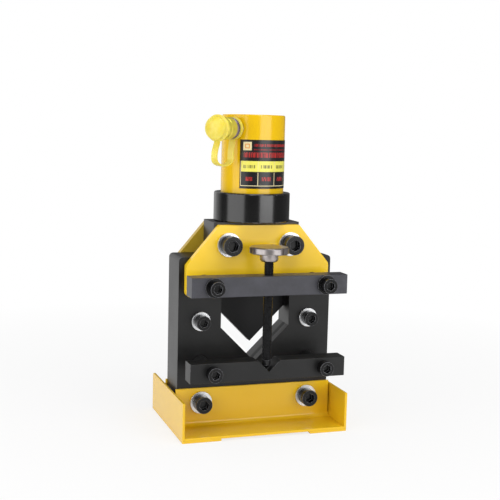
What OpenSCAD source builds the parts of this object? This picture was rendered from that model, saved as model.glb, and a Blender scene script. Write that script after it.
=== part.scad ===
// Hydraulic angle iron cutter. Millimetres, +Z up, X to the right, -Y towards the operator.
// The origin is on the floor, in the middle of the whole outline.

/* [Body plates] */
// Width of the two body plates
body_w = 200; // [190:1:230]
// Height of the top of the body plates above the floor
body_top = 217; // [212:1:240]
// Thickness of the front plate
front_t = 20; // [18:1:26]
// Thickness of the rear plate
rear_t = 30; // [27:1:36]
// Radius of the outer corners of the body plates
body_r = 5; // [2:0.5:8]

/* [Work window] */
// Half the width of the window that takes the angle bar
window_half = 45; // [40:0.5:48]
// Height of the bottom of the fixed V
vee_z = 83; // [76:1:90]
// Distance from the top of the body plates down to the window
window_drop = 35; // [27:1:45]
// How much larger the rear window is on each side
relief = 5; // [3:0.5:7]

/* [Blades] */
// Vertical gap between the moving and the fixed V when the ram is up
jaw_gap = 22; // [16:1:26]
// How far the moving blade reaches behind the front plate on each side of the window
blade_side = 7; // [5:0.5:9]
// Thickness of the moving blade
blade_t = 12; // [10:0.5:14]
// Depth of the blade's tongue in its holder
tongue = 12; // [9:0.5:14]
// Running clearance around moving pieces
run_gap = 0.05; // [0.03:0.01:0.1]
// Thickness of the fixed blade
die_t = 8; // [6:0.5:10]
// How far the fixed blade reaches past the window on each side
die_side = 14; // [11:0.5:18]
// Depth of the fixed blade below its V
die_below = 16; // [13:0.5:20]
// Width of a blade guide
guide_w = 8; // [7:0.5:9]

/* [Ram] */
// Stroke of the ram
stroke = 25; // [20:1:28]
// Diameter of the ram rod
rod_d = 30; // [26:1:32]
// Height of the blade holder
holder_h = 24; // [21:1:28]
// Width of the blade holder
holder_w = 60; // [52:1:70]
// Depth of the blade holder from front to back
holder_d = 34; // [32:0.5:36]
// Clearance between the holder and its pocket
holder_gap = 0.5; // [0.3:0.1:1]
// Diameter of the rod's threaded spigot
spigot_d = 16; // [12:1:18]

/* [Cylinder] */
// Outer diameter of the barrel
barrel_d = 79; // [76:0.5:86]
// Bore of the cylinder
bore_d = 60; // [54:0.5:64]
// Length of the barrel
barrel_l = 120; // [113:1:138]
// Thickness of the closed end of the barrel
end_t = 30; // [27:1:34]
// Wall of the collar around the barrel
collar_wall = 8.5; // [6:0.5:12]
// Height of the collar
collar_h = 36.5; // [34:0.5:42]
// Thickness of the collar's floor
collar_floor = 12.5; // [10:0.5:15]
// Chamfer on the collar's and barrel's outer rims
rim_chamfer = 1.2; // [0.5:0.1:2]
// Height of the piston
piston_h = 24; // [21:0.5:27]
// Gap above the piston when the ram is up
top_gap = 0.5; // [0.3:0.1:1.5]
// Wire diameter of the return spring
wire_d = 5; // [4:0.2:5.4]
// Turns of the return spring
spring_turns = 6; // [5:0.5:6.5]

/* [Head block] */
// Width of the head block
head_w = 112; // [108:1:124]
// Height of the head block
head_h = 42.5; // [38:0.5:46]
// Diameter of the collar's threaded spigot in the head block
neck_d = 40; // [38:0.5:42]
// Depth of the collar's spigot in the head block
neck_h = 18; // [14:0.5:22]

/* [Gusset plates] */
// Thickness of a gusset plate
gusset_t = 10; // [8:0.5:14]
// Width of a gusset plate
gusset_w = 186; // [176:1:198]
// How far a gusset plate's top edge stops short of the sides of the head block
gusset_top_in = 4; // [0:0.5:8]
// How far a gusset plate reaches below the upper bar
gusset_below = 7; // [3:0.5:12]
// Distance from the top of the body plates down to a gusset plate's shoulders
shoulder_drop = 9; // [5:0.5:14]
// Distance from the top of the head block down to a gusset plate's top edge
gusset_top_drop = 2.5; // [0.5:0.25:6]
// Radius of the corners of a gusset plate
gusset_r = 6; // [3:0.5:9]

/* [Bars] */
// Length of the upper and lower bars
bar_l = 198; // [190:1:210]
// Height of a bar
bar_h = 24; // [20:0.5:26]
// Depth of a bar from front to back
bar_d = 23; // [20:0.5:26]
// Distance from the front plate to the back of the bars
bar_stand = 34; // [30:0.5:40]
// Distance from the top of the body plates down to the bottom of the upper bar
upper_bar_drop = 41; // [35:0.5:46]
// Depth of the V notch in the lower bar
notch_depth = 14; // [11:0.5:18]
// Outer diameter of the spacers behind the bars
spacer_d = 18; // [16:0.5:24]

/* [Hold-down screw] */
// Diameter of the hold-down screw
screw_d = 12; // [10:0.5:14]
// Height of the swivel nose's tip above the bottom of the V when the screw is down
nose_rise = 1.2; // [1:0.1:4]
// Length of the swivel nose
nose_l = 12; // [9:0.5:15]
// Diameter of the swivel nose
nose_d = 10.6; // [9:0.1:11.5]
// Diameter of the screw's end that the nose turns on
tip_pin_d = 5; // [4:0.5:6]
// Gap between the upper bar and the knob's hub when the screw is down
knob_lift = 16; // [12:0.5:22]
// Diameter of the knob
knob_d = 49; // [44:0.5:50]
// Thickness of the knob's disc
knob_t = 8.5; // [7:0.5:11]
// Diameter of the knob's hub
hub_d = 23.4; // [19:0.2:27]
// Height of the knob's hub
hub_h = 10; // [8:0.5:12]
// Number of notches in the knob's rim
knob_notches = 4; // [3:1:8]
// Angle of the first notch
notch_turn = 22; // [0:1:90]
// Width of a notch
notch_w = 5; // [3:0.5:7]
// Depth of a notch
notch_deep = 2.6; // [1.5:0.1:4]

/* [Fasteners] */
// Metal left between a bar bolt's hole and the blade channel
bolt_wall = 4.65; // [3:0.05:8]
// Height of the body bolts above the middle between the bolts of the two bars
body_bolt_rise = 0.5; // [-6:0.5:6]
// Distance of the head block bolts from the sides of the head block
head_bolt_edge = 16; // [13:0.5:20]
// Height of the head block bolts above the bottom of the head block
head_bolt_rise = 16; // [14:0.5:21]
// Thread diameter of the head block bolts
head_bolt_d = 16; // [14:1:16]
// Thread diameter of the bar and body bolts
bar_bolt_d = 12; // [10:1:12]
// Thread diameter of the base bolts
base_bolt_d = 14; // [12:1:14]
// Distance of the base bolts from the middle plane
base_bolt_x = 70; // [60:1:78]
// Height of the base bolts
base_bolt_z = 35; // [32:0.5:38]
// Radial clearance of a bolt in its hole
bolt_gap = 0.25; // [0.1:0.05:0.4]

/* [Base] */
// Gap between the body plates and a side plate of the base
base_clear = 3.5; // [3.25:0.25:20]
// Depth of the base from front to back
base_d = 157; // [140:1:190]
// Thickness of the base sheet
sheet = 3; // [2.5:0.25:4]
// Thickness of the foot strips
foot_t = 3; // [2:0.25:5]
// Width of a foot strip
foot_w = 49; // [35:1:60]
// Height of the top of the side plates
side_top = 49; // [42:1:52]
// How far the legs that hold the body reach above their bolts
leg_above = 18; // [15:0.5:25]
// How far the legs reach past the body on each side
leg_side = 2; // [0:0.25:3]
// Inner radius of the bend between leg and floor
bend_r = 5; // [3:0.5:8]
// Corner radius of the side plates
side_r = 4; // [2:0.5:6]

/* [Coupler] */
// Angle of the coupler to the left of the front
coupler_angle = 50; // [46:1:60]
// Distance of the coupler's axis below the top of the barrel
coupler_drop = 17.5; // [17:0.5:22]
// Diameter of the adapter's neck
neck_round_d = 20; // [18:0.5:21]
// Distance from the barrel to the back of the coupler body
coupler_stand = 13; // [10:0.5:16]
// Length of the coupler's grip
grip_l = 24; // [20:0.5:26]
// Diameter of the coupler's grip
grip_d = 27.5; // [26:0.5:30]
// Length of the coupler's nose in front of the grip
nozzle_l = 12; // [10:0.5:16]
// Diameter of the coupler's nose
nozzle_d = 23; // [21:0.5:24]
// Travel of the poppet
poppet_travel = 3; // [2:0.25:3.5]
// Wall thickness of the dust cap around the nose
cap_wall = 2.5; // [2:0.1:3.5]
// Length of the dust cap
cap_l = 12.5; // [11:0.5:15]
// Wall thickness of the dust cap's end
cap_end = 4.5; // [4:0.25:6]
// How far the rim of the dust cap stands out
cap_rim = 1.9; // [1:0.1:2.5]
// Clearance between the dust cap and the coupler's nose
cap_gap = 0.3; // [0.2:0.05:0.5]
// Width of the cap's strap
strap_w = 8; // [5:0.5:10]
// Thickness of the cap's strap
strap_t = 1.8; // [1.2:0.1:2.4]
// How far the strap's loop hangs below the coupler's axis
strap_drop = 44.5; // [38:0.5:50]

/* [Data plate] */
// Gap between the data plate and the coupler's neck above it
plate_drop = 3; // [1:0.5:12]
// Height of the data plate's bottom edge above the collar
plate_rise = 6; // [4:0.5:8]
// Angle of the data plate's left edge from the front
plate_left = 42; // [36:1:44]
// Angle that the data plate covers
plate_span = 140; // [110:1:160]
// Thickness of the data plate
plate_t = 0.4; // [0.3:0.05:0.8]

/* [Hidden] */
$fn = 64;
ring_fn = 96;
tiny = 0.01;
skin = 0.05;
body_z0 = foot_t;
washer_t = 2.5;
body_d = front_t + rear_t;
front_y = -body_d / 2;
back_y = body_d / 2;
seam_y = front_y + front_t;
window_top = body_top - window_drop;

blade_half = window_half + blade_side;
die_half = window_half + die_side;
channel_d = blade_t + 2 * run_gap;
channel_half = blade_half + run_gap + guide_w + skin;
blade_tip = vee_z + jaw_gap;
blade_y = seam_y + run_gap;
channel_floor_z = vee_z - 12;
guide_z0 = vee_z + 17;

bolt_x = max(channel_half, die_half) + bolt_wall + bolt_gap + bar_bolt_d / 2;

head_z0 = body_top;
head_z1 = head_z0 + head_h;
head_bolt_x = head_w / 2 - head_bolt_edge;
head_bolt_z = head_z0 + head_bolt_rise;
holder_top = body_top - 1;
holder_z0 = holder_top - holder_h;
blade_top = holder_z0 + tongue;
pocket_z0 = holder_z0 - stroke - 2;
pocket_half = holder_w / 2 + 3 * holder_gap;
pocket_y = holder_d / 2 + holder_gap;
spigot_h = holder_h - tongue;
blade_screw_d = 8;
blade_screw_x = holder_w / 3;
blade_screw_z = blade_top - tongue / 2;
blade_screw_head = 13;
blade_screw_head_h = 8;

collar_z0 = head_z1;
collar_z1 = collar_z0 + collar_h;
collar_d = barrel_d + 2 * collar_wall;
barrel_z0 = collar_z0 + collar_floor;
barrel_top = barrel_z0 + barrel_l;
chamber_top = barrel_top - end_t;
piston_z1 = chamber_top - top_gap;
piston_z0 = piston_z1 - piston_h;
rod_r = rod_d / 2;
rod_clear = 0.5;
bush_wall = 3;
wiper_wall = 4;
wiper_h = 5;
piston_screw_d = 14;
piston_screw_head = 21;
piston_screw_deep = 14.5;
groove_deep = 4;
seal_h = 6;
ring_h = 6;
spring_gap = 0.3;
wire_r = wire_d / 2;
spring_r = (rod_r + bore_d / 2) / 2 + 0.5;
spring_z0 = barrel_z0 + spring_gap + wire_r;
spring_z1 = piston_z0 - spring_gap - wire_r;

bar_back = front_y - bar_stand;
reach = bar_d + bar_stand + body_d / 2 + washer_t + bar_bolt_d;
axis_y = (reach - base_d / 2) / 2;
bar_front = bar_back - bar_d;
bar_y = bar_back - bar_d / 2;
upper_bar_z = body_top - upper_bar_drop;
lower_bar_top = vee_z + notch_depth;
upper_bolt_z = upper_bar_z + bar_h / 2;
lower_bolt_z = lower_bar_top - bar_h / 2;
body_bolt_z = (upper_bolt_z + lower_bolt_z) / 2 + body_bolt_rise;
gusset_front = front_y - gusset_t;
gusset_z0 = upper_bar_z - gusset_below;
gusset_shoulder = body_top - shoulder_drop;
gusset_z1 = head_z1 - gusset_top_drop;
gusset_top_w = head_w - 2 * gusset_top_in;
head_washer_t = 3;
bolt_end = back_y - 15;

leg_front = front_y - sheet;
base_washer_y = leg_front - washer_t;
base_bolt_deep = 16;
floor_z = foot_t + sheet;
floor_half = body_w / 2 + base_clear;
base_w = 2 * (floor_half + sheet);
leg_top = base_bolt_z + leg_above;

nose_tip_z = vee_z + nose_rise;
screw_z0 = nose_tip_z + nose_l + 2 * run_gap;
pin_l = 4.5;
screw_spigot_d = screw_d - 2;
knob_floor = 3;
hub_z0 = upper_bar_z + bar_h + knob_lift;
knob_z = hub_z0 + hub_h;
knob_bore_top = knob_z + knob_t - knob_floor;
knob_pin_d = 3;

coupler_z = barrel_top - coupler_drop;
coupler_start = barrel_d / 2 + coupler_stand;
adapter_seat = barrel_d / 2 - 7;
flange_t = 1.6;
nozzle_start = coupler_start + grip_l;
nozzle_end = nozzle_start + nozzle_l;
chamber_r = 7;
chamber_s = coupler_start + 2;
seat_s = nozzle_start - 5;
stem_r = 4.5;
poppet_head = 4;
poppet_play = 0.3;
oil_r = 3;
cap_d = nozzle_d + 2 * (cap_gap + cap_wall);
cap_s1 = nozzle_end + cap_end + cap_gap;
cap_s0 = cap_s1 - cap_l;
strap_ring_w = 4;
strap_ring_t = 3.6;
cap_rim_l = 2.6;
cap_dome = cap_end + 2;
cap_rim_r = cap_d / 2 + cap_rim;
strap_ring_s = coupler_start - flange_t - skin - strap_ring_w / 2;
plate_z0 = collar_z1 + plate_rise;
plate_h = coupler_z - neck_round_d / 2 - plate_drop - plate_z0;

// Points of an arc about c, from angle a0 to a1
function arc(c, r, a0, a1, n = 6) = [for (i = [0 : n]) let (a = a0 + (a1 - a0) * i / n)
    [c[0] + r * cos(a), c[1] + r * sin(a)]];

// Corner point p between a and b, rounded to radius r
function fillet(a, p, b, r, n = 6) = let (
        u = (a - p) / norm(a - p),
        w = (b - p) / norm(b - p),
        half = acos(u * w) / 2,
        c = p + r / sin(half) * (u + w) / norm(u + w),
        s = p + r / tan(half) * u,
        e = p + r / tan(half) * w,
        a0 = atan2(s[1] - c[1], s[0] - c[0]),
        a1 = atan2(e[1] - c[1], e[0] - c[0]),
        turn = a1 - a0 > 180 ? a1 - 360 : a1 - a0 < -180 ? a1 + 360 : a1)
    r < tiny ? [p] : arc(c, r, a0, turn, n);

// Outline with each corner rounded to its own radius
function rounded(pts, radii) = let (n = len(pts))
    [for (i = [0 : n - 1]) for (q = fillet(pts[(i + n - 1) % n], pts[i], pts[(i + 1) % n], radii[i])) q];

// An outline in X and Z, made solid from y0 back to y1
module slab(pts, y0, y1) {
    translate([0, y1, 0]) rotate([90, 0, 0]) linear_extrude(y1 - y0) polygon(pts);
}

// Puts things on the axis of the cylinder, which is behind the middle of the outline
module on_axis() {
    translate([0, axis_y, 0]) children();
}

// A round bar along Y
module bar_y(x, z, r, y0, y1, fn = 48) {
    translate([x, y1, z]) rotate([90, 0, 0]) cylinder(r = r, h = y1 - y0, $fn = fn);
}

// The same thing on the left and the right
module both(x) {
    for (side = [-1, 1]) translate([side * x, 0, 0]) children();
}

// Socket cap screw along Y, head towards -Y with its underside at y = 0
module cap_screw(d, l, head_d, head_h) {
    socket = d * 0.8;
    difference() {
        union() {
            bar_y(0, 0, head_d / 2, -head_h + 0.8, 0);
            translate([0, -head_h + 0.8, 0]) rotate([90, 0, 0])
                cylinder(r1 = head_d / 2, r2 = head_d / 2 - 0.8, h = 0.8, $fn = 48);
            bar_y(0, 0, d / 2, -tiny, l - 1);
            translate([0, l, 0]) rotate([90, 0, 0])
                cylinder(r1 = d / 2 - 1, r2 = d / 2, h = 1 + tiny, $fn = 48);
        }
        translate([0, -head_h + head_h * 0.55, 0]) rotate([90, 0, 0])
            cylinder(d = socket / cos(30), h = head_h, $fn = 6);
    }
}

module washer(od, id, t) {
    difference() {
        bar_y(0, 0, od / 2, 0, t);
        bar_y(0, 0, id / 2, -1, t + 1);
    }
}

// Outline of a body plate: rounded at the top corners
function plate_outline() = let (w = body_w / 2)
    rounded([[-w, body_z0], [w, body_z0], [w, body_top], [-w, body_top]], [0, 0, body_r, body_r]);

// Window outline: a V below, straight sides above
function window_outline(half, tip, top) = [[0, tip], [half, tip + half], [half, top], [-half, top],
    [-half, tip + half]];

module through_bolts(r) {
    both(bolt_x) {
        bar_y(0, upper_bolt_z, r, front_y - 1, bolt_end + 1);
        bar_y(0, lower_bolt_z, r, front_y - 1, bolt_end + 1);
        bar_y(0, body_bolt_z, r, front_y - 1, bolt_end + 1);
    }
}

// Outline of the fixed blade, g larger all round where it sits in the front plate
function die_outline(g) = let (w = die_half + g)
    [[-w, vee_z - die_below - g], [w, vee_z - die_below - g], [w, vee_z + window_half + g],
    [window_half, vee_z + window_half + g], [window_half, vee_z + window_half], [0, vee_z],
    [-window_half, vee_z + window_half], [-window_half, vee_z + window_half + g],
    [-w, vee_z + window_half + g]];

die_screw_x = window_half - 3;
die_screw_z = vee_z - die_below / 2 + 1;
die_screw_d = 8;
die_screw_head = 13;

module front_plate() {
    color([0.16, 0.16, 0.17]) on_axis() difference() {
        slab(plate_outline(), front_y, seam_y);
        slab(window_outline(window_half, vee_z, window_top), front_y - 1, seam_y + 1);
        slab(die_outline(skin), seam_y - die_t - skin, seam_y + 1);
        translate([-pocket_half, -pocket_y, pocket_z0])
            cube([2 * pocket_half, pocket_y + seam_y + 1, body_top - pocket_z0 + 1]);
        through_bolts(bar_bolt_d / 2 + bolt_gap);
        both(base_bolt_x) bar_y(0, base_bolt_z, base_bolt_d / 2 + bolt_gap, front_y - 1,
            front_y + base_bolt_deep + 1);
        both(die_screw_x) {
            bar_y(0, die_screw_z, die_screw_d / 2 + bolt_gap, front_y - 1, seam_y);
            bar_y(0, die_screw_z, die_screw_head / 2 + bolt_gap, front_y - 1, front_y + die_screw_d + 0.5);
        }
    }
}

module rear_plate() {
    color([0.16, 0.16, 0.17]) on_axis() difference() {
        slab(plate_outline(), seam_y, back_y);
        slab(window_outline(window_half + relief, vee_z - 2 * relief / 1.4, window_top), seam_y - 1,
            back_y + 1);
        translate([-channel_half, seam_y - 1, channel_floor_z])
            cube([2 * channel_half, channel_d + 1, body_top - channel_floor_z + 1]);
        translate([-pocket_half, seam_y - 1, pocket_z0])
            cube([2 * pocket_half, pocket_y - seam_y + 1, body_top - pocket_z0 + 1]);
        through_bolts(bar_bolt_d / 2 + bolt_gap);
        both(bolt_x) bar_y(0, upper_bolt_z, bar_bolt_d / 2 + bolt_gap, bolt_end, back_y + 1);
        both(base_bolt_x) bar_y(0, base_bolt_z, base_bolt_d / 2 + bolt_gap, back_y - base_bolt_deep - 1,
            back_y + 1);
        guide_screw_places() bar_y(0, 0, guide_screw_d / 2 + skin, seam_y, seam_y + channel_d + 9);
    }
}

module fixed_blade() {
    color([0.55, 0.56, 0.58]) on_axis() difference() {
        slab(die_outline(0), seam_y - die_t, seam_y);
        both(die_screw_x) bar_y(0, die_screw_z, die_screw_d / 2 + skin, seam_y - die_t - 1, seam_y + 1);
    }
}

module fixed_blade_screws() {
    color([0.12, 0.12, 0.13]) on_axis() both(die_screw_x)
        translate([0, front_y + die_screw_d + 0.5, die_screw_z])
            cap_screw(die_screw_d, front_t - die_screw_d - 1.5, die_screw_head, die_screw_d);
}

guide_screw_d = guide_w / 2;
guide_l = body_top - guide_z0 - 1;
guide_screw_n = 3;
guide_head_d = guide_w - 1;
module guide_screw_places() {
    step = (guide_l - 16) / (guide_screw_n - 1);
    for (i = [0 : guide_screw_n - 1]) both(blade_half + run_gap + guide_w / 2)
        translate([0, 0, guide_z0 + 8 + i * step]) children();
}

module guide_strip(side) {
    x0 = blade_half + run_gap;
    color([0.72, 0.55, 0.26]) on_axis() difference() {
        translate([side > 0 ? x0 : -x0 - guide_w, seam_y + skin, guide_z0])
            cube([guide_w, channel_d - 2 * skin, guide_l]);
        guide_screw_places() {
            bar_y(0, 0, guide_screw_d / 2 + skin, seam_y - 1, seam_y + channel_d + 1, 32);
            bar_y(0, 0, guide_head_d / 2 + skin, seam_y - 1, seam_y + guide_screw_d + 0.5, 32);
        }
    }
}

module guide_left() {
    guide_strip(-1);
}

module guide_right() {
    guide_strip(1);
}

module guide_screws() {
    color([0.3, 0.3, 0.32]) on_axis() guide_screw_places() translate([0, seam_y + guide_screw_d + 0.5, 0])
        cap_screw(guide_screw_d, channel_d + 3, guide_head_d, guide_screw_d);
}

module head_block() {
    w = head_w / 2;
    deep = body_d / 2;
    r = 3;
    color([0.15, 0.15, 0.16]) on_axis() difference() {
        translate([0, 0, head_z0]) linear_extrude(head_h)
            polygon(rounded([[-w, -deep], [w, -deep], [w, deep], [-w, deep]], [r, r, r, r]));
        translate([0, 0, head_z0 - 1]) cylinder(r = rod_r + rod_clear, h = head_h + 2, $fn = ring_fn);
        translate([0, 0, head_z1 - neck_h - skin])
            cylinder(r = neck_d / 2 + skin, h = neck_h + 1, $fn = ring_fn);
        translate([0, 0, head_z0 - 1]) cylinder(r = rod_r + wiper_wall, h = wiper_h + 1, $fn = ring_fn);
        both(head_bolt_x) bar_y(0, head_bolt_z, head_bolt_d / 2 + bolt_gap, front_y - 1, back_y + 1);
    }
}

module collar() {
    r = collar_d / 2;
    seat = barrel_d / 2 + skin;
    hole = rod_r + rod_clear;
    bush_seat = rod_r + run_gap + bush_wall;
    color([0.1, 0.1, 0.11]) on_axis() rotate_extrude($fn = ring_fn) polygon([
        [hole, collar_z0 - neck_h], [neck_d / 2, collar_z0 - neck_h], [neck_d / 2, collar_z0],
        [r - rim_chamfer, collar_z0], [r, collar_z0 + rim_chamfer], [r, collar_z1 - rim_chamfer],
        [r - rim_chamfer, collar_z1], [seat, collar_z1], [seat, barrel_z0], [bush_seat, barrel_z0],
        [bush_seat, collar_z0 + 1], [hole, collar_z0 + 1]]);
}

module rod_bush() {
    color([0.7, 0.5, 0.25]) on_axis() difference() {
        translate([0, 0, collar_z0 + 1])
            cylinder(r = rod_r + run_gap + bush_wall - skin, h = collar_floor - 1, $fn = ring_fn);
        translate([0, 0, collar_z0]) cylinder(r = rod_r + run_gap, h = collar_floor + 1, $fn = ring_fn);
    }
}

module wiper_ring() {
    color([0.1, 0.1, 0.1]) on_axis() difference() {
        translate([0, 0, head_z0]) cylinder(r = rod_r + wiper_wall - skin, h = wiper_h, $fn = ring_fn);
        translate([0, 0, head_z0 - 1]) cylinder(r = rod_r + run_gap, h = wiper_h + 2, $fn = ring_fn);
    }
}

// Places things along the coupler's axis: +X of the children points out of the barrel
module on_coupler() {
    translate([0, 0, coupler_z]) rotate([0, 0, -90 - coupler_angle]) children();
}

// A round bar along the coupler's axis, from s0 to s1
module bar_s(r, s0, s1, fn = 64) {
    translate([s0, 0, 0]) rotate([0, 90, 0]) cylinder(r = r, h = s1 - s0, $fn = fn);
}

// A turned shape along the coupler's axis: points are [radius, s]
module turned_s(pts, fn = 64) {
    rotate([0, 90, 0]) rotate_extrude($fn = fn) polygon(pts);
}

module barrel() {
    r = barrel_d / 2;
    color([0.93, 0.76, 0.08]) on_axis() difference() {
        rotate_extrude($fn = ring_fn) polygon([[0, chamber_top], [bore_d / 2, chamber_top],
            [bore_d / 2, barrel_z0], [r, barrel_z0], [r, barrel_top - rim_chamfer],
            [r - rim_chamfer, barrel_top], [0, barrel_top]]);
        on_coupler() {
            bar_s(neck_round_d / 2 + skin, adapter_seat - skin, r + 5);
            bar_s(oil_r, 0, adapter_seat);
        }
        translate([0, 0, chamber_top - 1]) cylinder(r = oil_r, h = coupler_z - chamber_top + 1, $fn = 32);
    }
}

// One unbroken wire round the rod, with closed ends
spring_rings = 8;
spring_sides = 6;
function spring_centre(a) = [spring_r * cos(a), spring_r * sin(a),
    spring_z0 + (spring_z1 - spring_z0) * a / (360 * spring_turns)];
// Least gap between two turns, measured on the points of the wire's middle line
spring_points = [for (i = [0 : round(spring_turns * spring_rings)]) spring_centre(360 * i / spring_rings)];
spring_least_gap = min([for (i = [0 : len(spring_points) - 1 - spring_rings / 2])
    for (j = [i + spring_rings / 2 : len(spring_points) - 1])
        norm(spring_points[j] - spring_points[i])]) - wire_d;
echo(spring_least_gap = spring_least_gap);

module return_spring() {
    n = round(spring_turns * spring_rings);
    m = spring_sides;
    pts = [for (i = [0 : n]) let (a = 360 * spring_turns * i / n, c = spring_centre(a))
        for (j = [0 : m - 1]) let (b = 360 * j / m)
            [c[0] + wire_r * cos(b) * cos(a), c[1] + wire_r * cos(b) * sin(a), c[2] + wire_r * sin(b)]];
    sides = [for (i = [0 : n - 1]) for (j = [0 : m - 1]) let (k = (j + 1) % m)
        each [[i * m + j, i * m + k, (i + 1) * m + k], [i * m + j, (i + 1) * m + k, (i + 1) * m + j]]];
    ends = [for (j = [1 : m - 2]) each [[0, j + 1, j], [n * m, n * m + j, n * m + j + 1]]];
    color([0.62, 0.64, 0.66]) on_axis() polyhedron(pts, concat(sides, ends));
}

module piston() {
    r = bore_d / 2 - 0.3;
    inner = r - groove_deep;
    seal_z = piston_z1 - 4 - seal_h;
    ring_z = piston_z0 + 3;
    color([0.6, 0.61, 0.63]) on_axis() difference() {
        rotate_extrude($fn = ring_fn) polygon([[0, piston_z0], [r, piston_z0], [r, ring_z], [inner, ring_z],
            [inner, ring_z + ring_h], [r, ring_z + ring_h], [r, seal_z], [inner, seal_z],
            [inner, seal_z + seal_h], [r, seal_z + seal_h], [r, piston_z1], [0, piston_z1]]);
        translate([0, 0, piston_z0 - 1])
            cylinder(r = piston_screw_d / 2 + bolt_gap, h = piston_h + 2, $fn = 48);
        translate([0, 0, piston_z1 - piston_screw_deep])
            cylinder(r = piston_screw_head / 2 + bolt_gap, h = piston_screw_deep + 1, $fn = 48);
    }
}

// A ring in a groove of the piston that runs on the bore
module piston_ring(z, h) {
    r = bore_d / 2;
    difference() {
        translate([0, 0, z + skin]) cylinder(r = r - run_gap, h = h - 2 * skin, $fn = ring_fn);
        translate([0, 0, z - 1]) cylinder(r = r - 0.3 - groove_deep + skin, h = h + 2, $fn = ring_fn);
    }
}

module piston_seal() {
    color([0.75, 0.2, 0.15]) on_axis() piston_ring(piston_z1 - 4 - seal_h, seal_h);
}

module wear_ring() {
    color([0.85, 0.82, 0.72]) on_axis() piston_ring(piston_z0 + 3, ring_h);
}

module piston_screw() {
    color([0.12, 0.12, 0.13]) on_axis() translate([0, 0, piston_z1 - piston_screw_deep]) rotate([-90, 0, 0])
        cap_screw(piston_screw_d, piston_h - piston_screw_deep + 18, piston_screw_head,
            piston_screw_deep - 0.5);
}

module ram_rod() {
    color([0.75, 0.76, 0.78]) on_axis() difference() {
        union() {
            translate([0, 0, holder_top]) cylinder(r = rod_r, h = piston_z0 - holder_top, $fn = ring_fn);
            translate([0, 0, holder_top - spigot_h + 1])
                cylinder(r = spigot_d / 2, h = spigot_h, $fn = 64);
        }
        translate([0, 0, piston_z0 - 20])
            cylinder(r = piston_screw_d / 2 + bolt_gap, h = 21, $fn = 48);
        holder_pin_bar(pin_gap);
    }
}

pin_gap = 0.05;
holder_pin_d = 5;
holder_pin_z = holder_top - (holder_h - tongue) / 2;
module holder_pin_bar(g) {
    translate([-holder_w / 2 - g, 0, holder_pin_z]) rotate([0, 90, 0])
        cylinder(r = holder_pin_d / 2 + g, h = holder_w + 2 * g, $fn = 32);
}

module holder_pin() {
    color([0.5, 0.5, 0.52]) on_axis() holder_pin_bar(0);
}

module blade_holder() {
    color([0.3, 0.31, 0.33]) on_axis() difference() {
        translate([-holder_w / 2, -holder_d / 2, holder_z0]) cube([holder_w, holder_d, holder_h]);
        translate([-holder_w, blade_y - skin, holder_z0 - 1]) cube([2 * holder_w, blade_t + 2 * skin,
            tongue + 1 + skin]);
        translate([0, 0, holder_z0 + tongue]) cylinder(r = spigot_d / 2 + skin, h = holder_h, $fn = 64);
        holder_pin_bar(pin_gap);
        both(blade_screw_x) {
            bar_y(0, blade_screw_z, blade_screw_d / 2 + bolt_gap, -holder_d, holder_d / 2 - 2);
            bar_y(0, blade_screw_z, blade_screw_head / 2 + bolt_gap, -holder_d,
                -holder_d / 2 + blade_screw_head_h + 0.5);
        }
    }
}

module moving_blade() {
    tip = blade_tip;
    color([0.2, 0.2, 0.21]) on_axis() difference() {
        slab([[0, tip], [blade_half, tip + blade_half], [blade_half, blade_top], [-blade_half, blade_top],
            [-blade_half, tip + blade_half]], blade_y, blade_y + blade_t);
        both(blade_screw_x) bar_y(0, blade_screw_z, blade_screw_d / 2 + bolt_gap, blade_y - 1,
            blade_y + blade_t + 1);
    }
}

module blade_screws() {
    color([0.12, 0.12, 0.13]) on_axis() both(blade_screw_x)
        translate([0, -holder_d / 2 + blade_screw_head_h + 0.5, blade_screw_z])
            cap_screw(blade_screw_d, holder_d - blade_screw_head_h - 3.5, blade_screw_head,
                blade_screw_head_h);
}

module gusset(y0) {
    w = gusset_w / 2;
    t = gusset_top_w / 2;
    r = gusset_r;
    color([0.87, 0.72, 0.2]) on_axis() difference() {
        slab(rounded([[-w, gusset_z0], [w, gusset_z0], [w, gusset_shoulder], [t, gusset_z1], [-t, gusset_z1],
            [-w, gusset_shoulder]], [r, r, r, 2, 2, r]), y0, y0 + gusset_t);
        both(head_bolt_x) bar_y(0, head_bolt_z, head_bolt_d / 2 + bolt_gap, y0 - 1, y0 + gusset_t + 1);
        both(bolt_x) bar_y(0, upper_bolt_z, bar_bolt_d / 2 + bolt_gap, y0 - 1, y0 + gusset_t + 1);
    }
}

module front_gusset() {
    gusset(gusset_front);
}

module rear_gusset() {
    gusset(back_y);
}

// The same thing at the front and, turned round, at the back
module front_and_back() {
    children();
    rotate([0, 0, 180]) children();
}

module gusset_bolts() {
    color([0.1, 0.1, 0.1]) on_axis() front_and_back() both(head_bolt_x)
        translate([0, gusset_front - head_washer_t, head_bolt_z])
            cap_screw(head_bolt_d, gusset_t + head_washer_t + body_d / 2 - 4, 1.5 * head_bolt_d, head_bolt_d);
}

module gusset_washers() {
    color([0.85, 0.86, 0.88]) on_axis() front_and_back() both(head_bolt_x)
        translate([0, gusset_front - head_washer_t, head_bolt_z])
            washer(1.875 * head_bolt_d, head_bolt_d + 2 * bolt_gap, head_washer_t);
}

rear_bolt_l = gusset_t + washer_t + 12;
module rear_lower_bolts() {
    color([0.1, 0.1, 0.1]) on_axis() both(bolt_x)
        translate([0, back_y + gusset_t + washer_t, upper_bolt_z]) rotate([0, 0, 180])
            cap_screw(bar_bolt_d, rear_bolt_l, 1.5 * bar_bolt_d, bar_bolt_d);
}

module rear_lower_washers() {
    color([0.85, 0.86, 0.88]) on_axis() both(bolt_x) translate([0, back_y + gusset_t, upper_bolt_z])
        washer(2 * bar_bolt_d, bar_bolt_d + 2 * bolt_gap, washer_t);
}

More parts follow.
